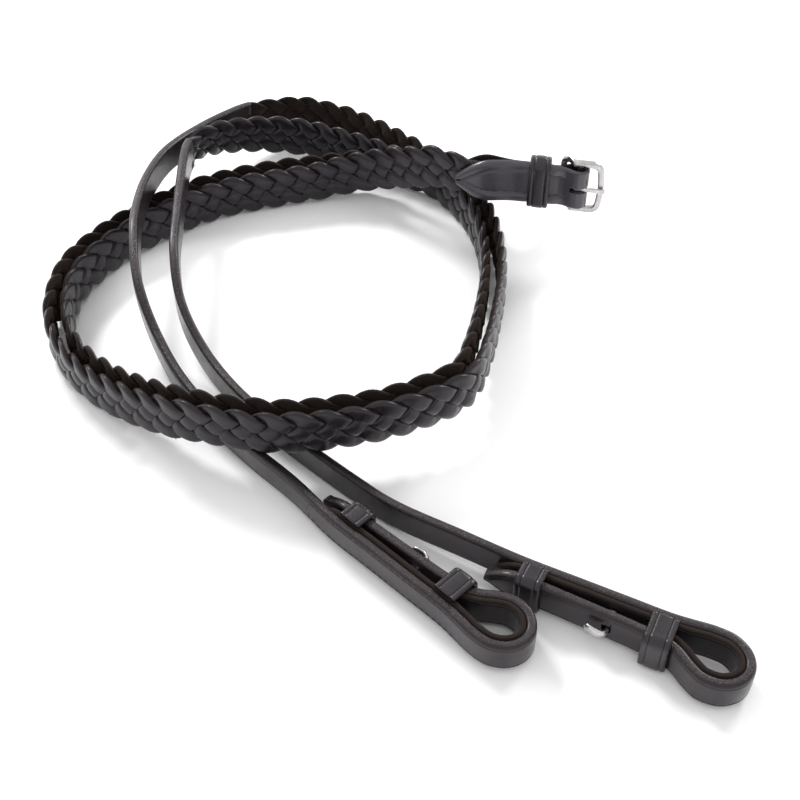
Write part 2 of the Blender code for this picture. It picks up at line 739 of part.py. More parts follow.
buckle_end = BuckleEnd()
outer_plait = Route(from_layout(OUTER_PLAIT_ROUTE))
chape_line = [tuple(buckle_end.spot(along, 0)) for along in (-buckle_end.length, -47, -40, -33)]
POINT_REIN = BitEnd("point_rein", (11.8, 259.4), (0.72, -0.694), -1, POINT_STRAP_ROUTE,
                    from_layout(OUTER_PLAIT_ROUTE + POINT_ROUTE))
BUCKLE_REIN = BitEnd("buckle_rein", (88.0, 252.8), (0.898, -0.441), 1, BUCKLE_STRAP_ROUTE,
                     inner_plait_route(outer_plait) + chape_line)

for rein in (POINT_REIN, BUCKLE_REIN):
    make_strap(rein)
    make_liner(rein)
    make_keeper(rein, FRONT_KEEPER_AT, "_front_keeper")
    make_keeper(rein, REAR_KEEPER_AT, "_rear_keeper")
    make_hook_stud(rein)
    make_stitching(rein)

point_start = POINT_REIN.route.nearest(from_layout(OUTER_PLAIT_ROUTE[-1:])[0], first=800) + 6
plait_end = make_plait("point_rein", POINT_REIN.route, POINT_REIN.splice, point_start)
make_point_strap(POINT_REIN.route, plait_end + GAP)

inside_chape = BUCKLE_REIN.route.nearest(buckle_end.spot(-41.5, 0), first=800)
make_plait("buckle_rein", BUCKLE_REIN.route, BUCKLE_REIN.splice, inside_chape)
make_chape(buckle_end)
make_chape_keeper(buckle_end)
make_chape_stitching(buckle_end)
make_buckle_frame(buckle_end)
make_buckle_tongue(buckle_end)
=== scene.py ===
"""The looks of the plaited leather reins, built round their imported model."""

import math
import random

import bmesh
import bpy
import numpy as np
from mathutils import Matrix, Vector


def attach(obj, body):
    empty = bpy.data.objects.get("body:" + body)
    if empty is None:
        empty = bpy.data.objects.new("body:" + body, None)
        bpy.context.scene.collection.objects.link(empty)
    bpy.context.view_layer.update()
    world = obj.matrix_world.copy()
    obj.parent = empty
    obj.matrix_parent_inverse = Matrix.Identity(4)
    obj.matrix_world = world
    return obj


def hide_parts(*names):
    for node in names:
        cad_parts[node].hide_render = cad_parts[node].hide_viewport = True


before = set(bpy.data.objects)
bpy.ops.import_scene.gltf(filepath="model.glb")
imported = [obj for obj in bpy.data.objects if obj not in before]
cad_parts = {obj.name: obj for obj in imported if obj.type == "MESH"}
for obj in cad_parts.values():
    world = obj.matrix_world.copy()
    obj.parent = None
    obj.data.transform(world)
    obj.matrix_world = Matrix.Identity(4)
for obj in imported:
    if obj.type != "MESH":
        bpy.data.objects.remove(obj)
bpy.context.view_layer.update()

MM = 0.001  # sizes are in millimetres, and the setting in metres
LAYOUT_CENTRE = (-16.2, 388.3)  # the middle of the layout, which lies at the origin

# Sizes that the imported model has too
GAP = 0.35  # between pieces that don't touch
STRAP_WIDTH = 12.7
STRAP_THICKNESS = 3.6
LINER_THICKNESS = 2.0
PLAIT_WIDTH = 21.6
PLAIT_PITCH = 10.5  # advance of the plait from one edge lobe to the next
KEEPER_LENGTH = 9.5
KEEPER_WALL = 1.6
CHAPE_WIDTH = 22.4
CHAPE_FOLD_WIDTH = 19.4
CHAPE_LEATHER = 1.6
POINT_WIDTH = 12.7
POINT_THICKNESS = 3.2
BAR_RADIUS = 1.3
FRAME_REAR = 8.6  # from the bar's middle to the frame's outside
FRAME_FRONT = 10.2
FRAME_CRANK = 4.0  # how far the rear is set back behind the chape
FRAME_HEIGHT = 26.6
FRAME_RAIL = 3.1
FRAME_SIDE_BAR = 2.9
PLAIT_SPACING = 6.8  # between the middles of plaits that lie together
KEEPER_REST = STRAP_WIDTH / 2 + GAP + KEEPER_WALL
FLOOR_CLEARANCE = 0.06

# Sizes of the finer shapes
STRANDS = 4
STRAND_WIDTH = 6.7
STRAND_THICKNESS = 1.8
STRAND_SWING = 7.3  # from the plait's middle to a strand's middle at its edge
STRAND_WAVE = 1.08  # how far a strand goes over and under
STRAND_STEP = 0.9  # from one of a strand's rings to the next
FIBRES = 2200  # loose fibres on each plait
FIBRE_TURNS = (0, 2.094, 4.189)  # a fibre has three sides
LOWEST_FIBRE = 0.1  # above the floor
STITCH_PITCH = 2.9
STITCH_LENGTH = 2.1
STITCH_RADIUS = 0.36
STITCH_DIP = 0.32  # how deep a stitch's ends go into the leather
STITCH_INSET = 1.75  # from a strap's edge to its row of stitches
STITCH_SIDES = 7
BILLET_SLIT = (3.4, 9.0, 2.9)  # along, through and across the strap
TONGUE_SLOT = (12, 8.6, 2.6)
# The hook's widths at its marks, from root to tip, and (height, radius) up the plate
HOOK_WIDTHS = [2.2, 2.2, 2.3, 3.0, 4.4, 4.8, 3.6]
STUD_PLATE = [(-0.5, 3.3), (-0.45, 3.55), (0.1, 3.6), (0.4, 3.4), (0.55, 2.8), (0.6, 0.6)]
HOLES = 3
HOLE_PITCH = 12
HOLE_RADIUS = 1.5
POINT_TAPER = 12.0
KEEPER_CORNER = 1.5  # the round corners of the keepers' sections
CHAPE_KEEPER_AT = -17.0
CHAPE_KEEPER_LENGTH = 9.2
CHAPE_KEEPER_CORNER = 2.2
CHAPE_KEEPER_RISE = 1.5  # over the rolls of the chape
ROLL_HEIGHT = 1.5
GROOVE_DEPTH = 0.65
GROOVE_WIDTH = 0.42
FRAME_CORNER = 3.0
FRAME_BULGE = 1.1  # how far the frame's front swells outwards
FRAME_DEPTH = 1.3  # half the frame's thickness
FRAME_SQUARENESS = 0.6  # 1 gives the frame's bars a round section, 0 a square one

# The setting: metres and degrees
CAMERA_PLACE = (0.0162, -0.3883, 0.379)
CAMERA_TILT = 44
CAMERA_LENS = 58.5
WORLD_STRENGTH = 1.04

# The routes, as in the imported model: distance forward and out at the folded ends,
# then x, y and height
BIT_END = [
    (-61, 7.4), (-53, 7.1), (-44, 7.1), (-30, 7.6), (-16, 8.2), (-3, 8.9), (5, 9.8),
    (10.5, 12.2), (14.8, 15.3), (20, 17.9), (26.5, 17.5), (31.5, 13.8), (33.2, 8.4), (31, 2.8),
    (25.5, -0.9), (18.4, -1.5), (11, -0.7), (3, 0), (-12, 0), (-30, 0), (-50, 0),
]
FRONT_KEEPER_AT = 2
REAR_KEEPER_AT = -44
HOOK_AT = -15
LINER_END = -68
PLAITS_MEET = (22, 502.4, 0)  # where the second plait comes to lie against the first
PLAITS_PART = (-61, 499.5, 0)
PLAIT_END_IN_CHAPE = -41.5  # back from the buckle's bar
POINT_STRAP_ROUTE = [
    (-39.5, 312, 8.1), (-60.5, 334, 7), (-84, 362, 7.4), (-99, 387, 12.4), (-108.5, 409, 22.8),
    (-112.5, 432, 28.6), (-113.8, 452, 29), (-112, 472, 28.9), (-106.5, 494, 27), (-95, 516, 23.5),
    (-83, 531, 21), (-73.5, 540, 19),
]
BUCKLE_STRAP_ROUTE = [
    (21.5, 287, 8.2), (-1, 300.5, 7.2), (-16, 313, 6.6), (-40, 335, 6.5), (-62, 357, 7.2),
    (-79, 380, 9.6), (-90, 400, 18.6), (-94.5, 422, 27.6), (-96, 446, 29), (-97, 468, 29),
    (-97.5, 486, 28.8), (-96.8, 499, 26.6),
]
OUTER_PLAIT_ROUTE = [
    (-63, 546, 16.5), (-48.5, 550.5, 14.2), (-34.5, 547.5, 12.6), (-22, 542, 11.3), (-10, 533.5, 11),
    (8, 517.5, 11), (25, 499, 11), (38, 476, 11), (43.5, 450, 11), (43.5, 425, 12),
    (40, 400, 15.6), (35, 374, 20.4), (27, 350.6, 23.6), (8, 337.3, 24.3), (-17, 328.9, 24.3),
    (-48, 325.6, 24.3), (-76, 331.7, 23.5), (-97, 343, 17.8), (-121, 361.6, 11.6), (-137.5, 380, 11),
    (-146, 402, 11), (-144.5, 430, 11), (-131.5, 453, 11), (-112, 473, 11), (-88, 489.5, 11),
    (-61, 499.5, 11), (-44, 503, 11.1), (-27, 505.4, 11.9), (-10, 503.6, 14.4), (2, 497.4, 19.6),
]
POINT_ROUTE = [
    (12, 490.2, 25.2), (20, 485, 28.4), (29, 481.5, 28.8), (38, 480.4, 28.6), (48, 481.6, 25),
    (57, 485, 18), (65, 489.5, 11),
]
INNER_PLAIT_START = [
    (-92, 508.5, 26), (-82, 519.5, 21.6), (-69, 527, 17.6), (-55, 530.3, 14.6), (-40, 529.5, 12.4),
    (-24, 524, 11), (-8.5, 516, 11), (7, 505.5, 11),
]
INNER_PLAIT_END = [
    (-40, 496.8, 11.8), (-27, 498.5, 14.2), (-14, 496, 18.8), (-3, 490, 24.6), (6.5, 483.6, 30),
    (15.5, 478.4, 33.9),
]
CHAPE_TIP = (25.5, 472.4, 35.0)
BUCKLE_BAR = (77.9, 462.5, 35.0)


# ---- routes

def curve_through(points, steps=16):
    """A smooth curve (Catmull-Rom) through the given points."""
    points = np.asarray(points, float)
    padded = np.vstack([2 * points[0] - points[1], points, 2 * points[-1] - points[-2]])
    t = np.linspace(0, 1, steps, endpoint=False)[:, None]
    stretches = []
    for a, b, c, d in zip(padded, padded[1:], padded[2:], padded[3:]):
        stretches.append(0.5 * (2 * b + (c - a) * t + (2 * a - 5 * b + 4 * c - d) * t ** 2
                                + (3 * b - a - 3 * c + d) * t ** 3))
    return np.vstack(stretches + [points[-1:]])


def unit(vectors):
    vectors = np.asarray(vectors, float)
    return vectors / np.linalg.norm(vectors, axis=-1, keepdims=True)


def eased(share):
    """From 0 to 1, with a gentle start and stop."""
    share = np.clip(share, 0, 1)
    return share * share * (3 - 2 * share)


class Route:
    """A line in space that a strap follows, with the strap's directions along it.

    A strap's width stands along `up`, as nearly as the line allows, and its
    thickness lies across: to the left of the line is positive. Distances along
    the route may be arrays.
    """

    def __init__(self, points, up=(0, 0, 1), smooth=True):
        self.points = curve_through(points) if smooth else np.asarray(points, float)
        steps = np.linalg.norm(np.diff(self.points, axis=0), axis=1)
        self.along = np.concatenate([[0], np.cumsum(steps)])
        self.length = self.along[-1]
        self.up = np.asarray(up, float)

    def at(self, s):
        return np.stack([np.interp(s, self.along, self.points[:, axis]) for axis in range(3)], axis=-1)

    def directions(self, s, reach=1.2):
        """Unit vectors forward, across to the left, and up."""
        s = np.asarray(s, float)
        ahead = self.at(np.minimum(s + reach, self.length))
        behind = self.at(np.maximum(s - reach, 0))
        forward = unit(ahead - behind)
        across = unit(np.cross(self.up, forward))
        return forward, across, np.cross(forward, across)

    def place(self, s, across=0.0, height=0.0):
        forward, left, up = self.directions(s)
        s = np.asarray(s, float)
        past = (s - np.clip(s, 0, self.length))[..., None]
        across = np.asarray(across, float)[..., None]
        height = np.asarray(height, float)[..., None]
        return self.at(s) + across * left + height * up + past * forward

    def nearest(self, point, first=0.0, last=None):
        """How far along the route it passes closest to a point, seen from above."""
        last = self.length if last is None else last
        inside = np.flatnonzero((self.along >= first) & (self.along <= last))
        away = np.linalg.norm(self.points[inside, :2] - np.asarray(point)[:2], axis=1)
        return self.along[inside[np.argmin(away)]]

    def nearest_in_space(self, point):
        return self.along[np.argmin(np.linalg.norm(self.points - point, axis=1))]


def from_layout(points):
    """Move layout points so that the middle of the layout is the origin."""
    shift = np.array([*LAYOUT_CENTRE, 0])
    return [tuple(np.asarray(point, float) - shift) for point in points]


class BitEnd:
    """Where one rein's folded end lies, and which way round it is."""

    def __init__(self, name, main_at, heading, flesh, strap_route, rest):
        self.name = name
        self.heading = unit([*heading, 0.0])
        self.out = flesh * np.cross((0, 0, 1), -self.heading)
        self.origin = np.array([*main_at, KEEPER_REST + FLOOR_CLEARANCE])
        self.flesh = flesh
        folded = [self.spot(forward, out) for forward, out in BIT_END]
        self.route = Route(from_layout(folded + strap_route) + rest)
        self.loop_tip = self.nearest(32, 8)
        self.splice = self.route.nearest(from_layout(strap_route[-1:])[0])

    def spot(self, forward, out):
        return self.origin + forward * self.heading + out * self.out

    def nearest(self, forward, out, first=0.0, last=200.0):
        return self.route.nearest(from_layout([self.spot(forward, out)])[0], first, last)

    def main(self, forward):
        """Along the route, on the main strap, at a distance forward."""
        return self.nearest(forward, 0, first=self.loop_tip)

    def billet(self, forward):
        return self.nearest(forward, 10, last=self.loop_tip)


class BuckleEnd:
    """The straight stitched end that holds the buckle, measured back from its bar."""

    def __init__(self):
        tip, bar = (np.array(spot) for spot in from_layout([CHAPE_TIP, BUCKLE_BAR]))
        self.bar = bar
        self.length = np.linalg.norm(bar - tip)
        self.forward = unit(bar - tip)
        self.across = unit(np.cross((0, 0, 1), self.forward))
        self.up = np.cross(self.forward, self.across)

    def spot(self, along, across, height=0.0):
        return self.bar + along * self.forward + across * self.across + height * self.up


# ---- meshes

def finish_piece(mesh, materials, replaced=(), body="reins"):
    """Put a mesh in the scene as a piece with the mesh's name."""
    piece = bpy.data.objects.new(mesh.name, mesh)
    bpy.context.scene.collection.objects.link(piece)
    for material in materials:
        mesh.materials.append(material)
    mesh.polygons.foreach_set("use_smooth", [True] * len(mesh.polygons))
    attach(piece, body)
    if replaced:
        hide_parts(*replaced)
    return piece


def closed_mesh(name, vertices, faces, slots=None):
    """A mesh whose faces all look outwards."""
    mesh = bpy.data.meshes.new(name)
    mesh.from_pydata(vertices.tolist(), [], faces)
    if slots is not None:
        mesh.polygons.foreach_set("material_index", slots)
    shape = bmesh.new()
    shape.from_mesh(mesh)
    if shape.calc_volume(signed=True) < 0:
        bmesh.ops.reverse_faces(shape, faces=shape.faces)
    shape.to_mesh(mesh)
    shape.free()
    return mesh


def circle(count):
    """Evenly spaced turns round a circle."""
    return np.linspace(0, 2 * math.pi, count, endpoint=False)


def lofted(name, rings, face_slot=None):
    """A closed mesh through rings of points, shaped (ring, point, 3), with a fan of
    faces over each end. face_slot gives a material number for each step round the ring."""
    rings = np.asarray(rings, float) * MM
    count, around, _ = rings.shape
    vertices = rings.reshape(-1, 3)
    faces = []
    slots = []
    for i in range(count - 1):
        for j in range(around):
            k = (j + 1) % around
            faces.append((i * around + j, i * around + k,
                          (i + 1) * around + k, (i + 1) * around + j))
            slots.append(face_slot[j] if face_slot is not None else 0)
    ends = [rings[0].mean(axis=0), rings[-1].mean(axis=0)]
    first, last = len(vertices), len(vertices) + 1
    vertices = np.vstack([vertices, ends])
    for j in range(around):
        k = (j + 1) % around
        faces.append((first, k, j))
        faces.append((last, (count - 1) * around + j, (count - 1) * around + k))
        slots += [0, 0]
    return closed_mesh(name, vertices, faces, slots)


def prism_faces(first, sides, levels):
    """The faces of a rod with flat ends, whose rings of points start at number first."""
    faces = []
    for level in range(levels - 1):
        for corner in range(sides):
            a = first + level * sides + corner
            b = first + level * sides + (corner + 1) % sides
            faces.append((a, b, b + sides, a + sides))
    last = first + (levels - 1) * sides
    return faces + [tuple(range(first, first + sides))[::-1], tuple(range(last, last + sides))]


def strap_outline(width, thickness, face, radius=1.2, crease=0.0, inset=1.9, dome=0.15, cut=2):
    """Points (side, height) round a strap's cross-section, and which face each step
    belongs to: 0 is the grain face, 1 the flesh face and 2 an edge.

    The grain face lies on the side that `face` says, 1 or -1. It is slightly domed,
    with a line pressed into it near each edge, `inset` from it. `cut` is the face that
    the corners beside the grain belong to: 0 where the grain runs on over them.
    """
    w, t = width / 2, thickness / 2
    r = min(radius, 0.9 * t, 0.5 * w)
    inset = max(inset, r + 0.3)
    marks = [r, inset - 0.28, inset - 0.14, inset, inset + 0.14, inset + 0.28, inset + 0.8]
    rising = [-(w - mark * min(1.0, 0.9 * w / marks[-1])) for mark in marks]
    middle = [0.35 * rising[-1], 0.0, -0.35 * rising[-1]]
    heights = np.array(rising + middle + [-height for height in rising[::-1]])
    pressed = crease * np.exp(-((np.abs(heights) - (w - inset)) / 0.16) ** 2)
    grain = t + dome * (1 - (heights / w) ** 2) - pressed
    turns = np.radians(np.linspace(0, 90, 6)[1:-1])
    arc_out, arc_up = r * np.cos(turns), r * np.sin(turns)
    top = list(zip(t - r + arc_out, w - r + arc_up)) + [(t - r, w)]
    top += [(-side, height) for side, height in top[::-1]]
    bottom = [(-side, -height) for side, height in top]
    points = [*zip(grain, heights), *top, *((-t, height) for height in heights[::-1]), *bottom]
    flat_steps = len(heights) - 1
    faces = [0] * flat_steps + [cut] * 5 + [2] * 6 + [1] * flat_steps + [2] * 6 + [cut] * 5
    points = np.array(points)
    points[:, 0] *= face
    return points, faces


def strap_mesh(name, route, places, width, thickness, face, across=0.0, **shape):
    """A strap along a route. Its width may be a function of the distance."""
    rings = []
    for s in places:
        wide = width(s) if callable(width) else width
        outline, faces = strap_outline(wide, thickness, face, **shape)
        rings.append(route.place(np.full(len(outline), s), across + outline[:, 0], outline[:, 1]))
    return lofted(name, rings, faces)


def pointed(start, full_at, width, least=0.18):
    """A width that grows from a rounded point at `start` to full at `full_at`."""
    def at(s):
        share = max(0.0, min(1.0, (s - start) / (full_at - start)))
        return width * (least + (1 - least) * math.sin(share * math.pi / 2))
    return at


def spaced(start, end, step=1.4, fixed=()):
    count = max(2, int(round((end - start) / step)) + 1)
    return sorted(set(np.linspace(start, end, count).tolist()) | set(fixed))


def cut_box(piece, centre, axes, size):
    """Cut a box out of a piece."""
    bpy.ops.mesh.primitive_cube_add(size=1)
    cut_with(piece, bpy.context.object, centre, axes, size)


def cut_round(piece, centre, axes, radius, depth):
    """Punch a round hole through a piece, along the third axis."""
    bpy.ops.mesh.primitive_cylinder_add(vertices=32, radius=1, depth=1)
    cut_with(piece, bpy.context.object, centre, axes, (radius, radius, depth))


def cut_with(piece, tool, centre, axes, size):
    """Take a tool's shape out of a piece, and remove the tool."""
    tool.matrix_world = basis_matrix(centre, axes) @ Matrix.Diagonal((*(v * MM for v in size), 1))
    bpy.context.view_layer.update()
    cut = piece.modifiers.new("cut", "BOOLEAN")
    cut.operation = "DIFFERENCE"
    cut.object = tool
    cut.solver = "EXACT"
    graph = bpy.context.evaluated_depsgraph_get()
    piece.data = bpy.data.meshes.new_from_object(piece.evaluated_get(graph))
    piece.modifiers.clear()
    bpy.data.objects.remove(tool, do_unlink=True)


def basis_matrix(origin, axes):
    """A matrix in metres, from an origin and three directions."""
    columns = [*axes, np.asarray(origin) * MM]
    return Matrix([[float(column[row]) for column in columns] for row in range(3)] + [(0, 0, 0, 1)])


# ---- materials

class Nodes:
    """A material's node tree, with short calls for the nodes used here."""

    def __init__(self, name):
        self.material = bpy.data.materials.new(name)
        self.material.use_nodes = True
        self.tree = self.material.node_tree
        self.shader = self.tree.nodes["Principled BSDF"]
        coordinates = self.tree.nodes.new("ShaderNodeTexCoord")
        self.place = coordinates.outputs["Object"]

    def link(self, output, socket):
        self.tree.links.new(output, socket)

    def drive(self, name, output):
        """Let a node's output say what one of the shader's values is."""
        self.link(output, self.shader.inputs[name])

    def set(self, **numbers):
        """Set the shader's uniform values: Coat_Weight is its Coat Weight."""
        for name, value in numbers.items():
            self.shader.inputs[name.replace("_", " ")].default_value = value

    def noise(self, scale, detail=4.0, roughness=0.55, stretch=None):
        texture = self.tree.nodes.new("ShaderNodeTexNoise")
        texture.inputs["Scale"].default_value = scale
        texture.inputs["Detail"].default_value = detail
        texture.inputs["Roughness"].default_value = roughness
        place = self.place
        if stretch is not None:
            mapping = self.tree.nodes.new("ShaderNodeMapping")
            mapping.inputs["Scale"].default_value = stretch
            self.link(place, mapping.inputs["Vector"])
            place = mapping.outputs["Vector"]
        self.link(place, texture.inputs["Vector"])
        return texture.outputs["Fac"]

    def cells(self, scale):
        texture = self.tree.nodes.new("ShaderNodeTexVoronoi")
        texture.feature = "SMOOTH_F1"
        texture.inputs["Scale"].default_value = scale
        self.link(self.place, texture.inputs["Vector"])
        return texture.outputs["Distance"]

    def ramp(self, value, stops):
        """Colours along a value: stops are (place, colour)."""
        ramp = self.tree.nodes.new("ShaderNodeValToRGB")
        elements = ramp.color_ramp.elements
        for element, (at, colour) in zip(elements, (stops[0], stops[-1])):
            element.position = at
            element.color = (*colour, 1)
        for at, colour in stops[1:-1]:
            elements.new(at).color = (*colour, 1)
        self.link(value, ramp.inputs["Fac"])
        return ramp.outputs["Color"]

    def levels(self, value, low, high):
        """Spread the middle of a noise's values from low to high."""
        change = self.tree.nodes.new("ShaderNodeMapRange")
        numbers = {"From Min": 0.3, "From Max": 0.7, "To Min": low, "To Max": high}
        for name, number in numbers.items():
            change.inputs[name].default_value = number
        self.link(value, change.inputs["Value"])
        return change.outputs["Result"]

    def mix(self, colour_a, colour_b, share):
        mixed = self.tree.nodes.new("ShaderNodeMix")
        mixed.data_type = "RGBA"
        mixed.inputs["Factor"].default_value = share
        self.link(colour_a, mixed.inputs["A"])
        self.link(colour_b, mixed.inputs["B"])
        return mixed.outputs["Result"]

    def bump(self, *heights):
        """Bumps on top of each other: each is (value, distance in millimetres)."""
        normal = None
        for value, distance in heights:
            bump = self.tree.nodes.new("ShaderNodeBump")
            bump.inputs["Distance"].default_value = distance * MM
            bump.inputs["Strength"].default_value = 1.0
            self.link(value, bump.inputs["Height"])
            if normal is not None:
                self.link(normal, bump.inputs["Normal"])
            normal = bump.outputs["Normal"]
        self.drive("Normal", normal)


def leather(name, dark, light, gloss, grain, coat):
    """Finished leather: fine pores and wrinkles, with cloudy colour and gloss."""
    made = Nodes(name)
    clouds = made.noise(120, detail=5)
    fine = made.noise(900, detail=3)
    pores = made.cells(2600)
    wrinkles = made.noise(700, detail=6, roughness=0.65)
    colour = made.ramp(clouds, [(0.3, dark), (0.7, light)])
    speck = made.ramp(fine, [(0.35, tuple(0.8 * v for v in light)),
                             (0.75, tuple(1.25 * v for v in light))])
    made.drive("Base Color", made.mix(colour, speck, 0.35))
    made.drive("Roughness", made.levels(made.noise(260, detail=4), *gloss))
    made.set(Specular_IOR_Level=0.27, Specular_Tint=(1.0, 0.92, 1.0, 1),
             Coat_Weight=coat, Coat_Roughness=0.22, Coat_IOR=1.4)
    made.bump((pores, 0.05 * grain), (wrinkles, 0.10 * grain))
    return made.material


def suede(name, dark, light, fibre=1.0):
    """The flesh side: matt, napped and fibrous."""
    made = Nodes(name)
    nap = made.noise(1500, detail=6, roughness=0.7)
    fibres = made.noise(900, detail=5, roughness=0.7, stretch=(1.0, 1.0, 4.0))
    clouds = made.noise(160, detail=4)
    colour = made.ramp(nap, [(0.3, dark), (0.72, light)])
    patches = made.ramp(clouds, [(0.35, dark), (0.7, light)])
    made.drive("Base Color", made.mix(colour, patches, 0.4))
    made.set(Roughness=0.93, Specular_IOR_Level=0.2, Sheen_Weight=0.18,
             Sheen_Roughness=0.5, Sheen_Tint=(0.42, 0.30, 0.24, 1))
    made.bump((nap, 0.22 * fibre), (fibres, 0.35 * fibre))
    return made.material


def waxed_thread(name, dark, light):
    """Thread with a fine twist."""
    made = Nodes(name)
    twist = made.noise(2400, detail=2)
    made.drive("Base Color", made.ramp(twist, [(0.35, dark), (0.7, light)]))
    made.set(Roughness=0.55)
    made.bump((twist, 0.08))
    return made.material


def steel(name):
    """Satin stainless steel, with a fine brushed grain and cloudy gloss."""
    made = Nodes(name)
    brushed = made.noise(700, detail=6, stretch=(1.0, 1.0, 0.12))
    clouds = made.noise(240, detail=3)
    colour = made.ramp(clouds, [(0.3, (0.44, 0.43, 0.425)), (0.7, (0.56, 0.55, 0.545))])
    made.drive("Base Color", colour)
    made.set(Metallic=1.0)
    made.drive("Roughness", made.levels(brushed, 0.20, 0.34))
    made.bump((brushed, 0.012))
    return made.material


SMOOTH = leather("smooth_leather", (0.0088, 0.0060, 0.0082), (0.0155, 0.0112, 0.0142),
                 gloss=(0.28, 0.40), grain=0.8, coat=0.45)
PLAIT_GRAIN = leather("plaited_leather_grain", (0.0048, 0.0037, 0.0050), (0.0104, 0.0084, 0.0106),
                      gloss=(0.25, 0.42), grain=1.2, coat=0.30)
# The chape's leather is the rein's dark leather made lighter and more lilac: the extra lightness is
# painted sheen, where the chape's glossy faces catch the light.
CHAPE_PAINTED_SHEEN = leather("chape_leather", (0.0260, 0.0225, 0.0290), (0.0410, 0.0360, 0.0450),
                       gloss=(0.26, 0.38), grain=0.7, coat=1.0)
KEEPER_LEATHER = leather("keeper_leather", (0.0085, 0.0070, 0.0085), (0.0150, 0.0125, 0.0148),
                         gloss=(0.24, 0.36), grain=0.7, coat=0.55)
BURNISHED = leather("burnished_edge", (0.0070, 0.0046, 0.0046), (0.0150, 0.0104, 0.0100),
                    gloss=(0.22, 0.38), grain=3.0, coat=0.30)
FLESH = suede("flesh_side", (0.0048, 0.0027, 0.0023), (0.0180, 0.0104, 0.0084))
CUT_EDGE = suede("cut_edge", (0.0044, 0.0027, 0.0024), (0.0140, 0.0084, 0.0070), fibre=1.4)
LINER = suede("liner_leather", (0.0075, 0.0050, 0.0045), (0.0200, 0.0132, 0.0112), fibre=0.6)
THREAD = waxed_thread("waxed_thread", (0.004, 0.003, 0.003), (0.016, 0.013, 0.012))
# Lighter thread for the chape's stitches: its lightness is a painted highlight, standing in for the
# light caught along the grooves.
THREAD_PAINTED_HIGHLIGHT = waxed_thread("thread_painted_highlight", (0.035, 0.031, 0.034), (0.12, 0.11, 0.118))
STEEL = steel("satin_steel")


# ---- plaits

def plait_growth(along, least=0.7, length=75.0):
    """The plait starts narrow and grows to its full width, and narrows again at its end."""
    share = np.clip(np.asarray(along, float) / length, 0, 1)
    return least + (1 - least) * np.sin(share * math.pi / 2)


def weave(turn):
    """How far a strand is over (1) or under (-1), by its share of the way from one
    edge and back. It passes over, under and over on its way across, and the other way
    round on its way back, and changes side at both edges."""
    turn = np.mod(turn, 1.0)
    wave = np.select(
        [(turn >= 1 / 8) & (turn < 3 / 8), (turn >= 3 / 8) & (turn < 5 / 8),
         (turn >= 5 / 8) & (turn < 7 / 8)],
        [-np.cos(8 * math.pi * (turn - 1 / 4)), np.cos(4 * math.pi * (turn - 3 / 8)),
         np.cos(8 * math.pi * (turn - 3 / 4))],
        -np.cos(4 * math.pi * np.mod(turn - 7 / 8, 1.0)))
    return wave * (1.3 - 0.3 * wave ** 2)


def swing(turn, sharpness=0.92):
    """Where a strand is between the edges, from -1 to 1: straight runs and round turns."""
    return -np.arcsin(sharpness * np.cos(2 * math.pi * np.asarray(turn))) / math.asin(sharpness)


class Strand:
    """One strand of a plait. It is worked out as if the plait were straight, as
    (along, height, across), and then carried onto the route."""

    def __init__(self, route, start, lobes, number, tuck):
        self.route = route
        self.start = start
        self.total = lobes * PLAIT_PITCH
        self.number = number
        self.stations = np.arange(-tuck, self.total + tuck, STRAND_STEP)

    def middle(self, s):
        turn = (s - self.number * PLAIT_PITCH) / (STRANDS * PLAIT_PITCH)
        return np.stack([s, STRAND_SWING * swing(turn), STRAND_WAVE * weave(turn)], axis=-1)

    def frame(self, s):
        """The middle, and unit directions over the strand's width and through it."""
        ahead = unit(self.middle(s + 0.2) - self.middle(s - 0.2))
        wide = unit(np.stack([-ahead[:, 1], ahead[:, 0], np.zeros(len(s))], axis=-1))
        return self.middle(s), wide, np.cross(ahead, wide)

    def carried(self, s, points):
        """Straight-plait points, for the stations s, on the real route."""
        narrow = np.minimum(plait_growth(s), plait_growth(self.total - s, least=0.62, length=18.0))
        while narrow.ndim < points.ndim - 1:
            narrow = narrow[:, None]
        return self.route.place(self.start + points[..., 0], points[..., 2],
                                points[..., 1] * narrow)

    def mesh(self, name, flesh, seed):
        """The strand's mesh, whose width drifts a little, as hand-cut leather does."""
        outline, faces = strap_outline(STRAND_WIDTH, STRAND_THICKNESS, -flesh,
                                       radius=0.75, dome=0.4, cut=0)
        middle, wide, through = self.frame(self.stations)
        draw = np.random.default_rng(seed)
        drift = np.interp(self.stations, np.linspace(-20, self.total + 20, 60),
                          draw.normal(0, 0.04, 60))
        heights = outline[None, :, 1, None] * (1 + drift)[:, None, None]
        sides = outline[None, :, 0, None]
        rings = middle[:, None, :] + wide[:, None, :] * heights + through[:, None, :] * sides
        return lofted(name, self.carried(self.stations, rings), faces)


def make_plait(end, start, finish, tuck=4.0):
    """A plait of four strands, whose ends reach `tuck` into what holds them."""
    lobes = int((finish - start) // PLAIT_PITCH)
    strands = []
    for number in range(STRANDS):
        strand = Strand(end.route, start, lobes, number, tuck)
        name = f"{end.name}_plait_strand_{number + 1}"
        mesh = strand.mesh(name + "_woven", end.flesh, seed=number + 10)
        finish_piece(mesh, [PLAIT_GRAIN, FLESH, CUT_EDGE], [name])
        strands.append(strand)
    return strands


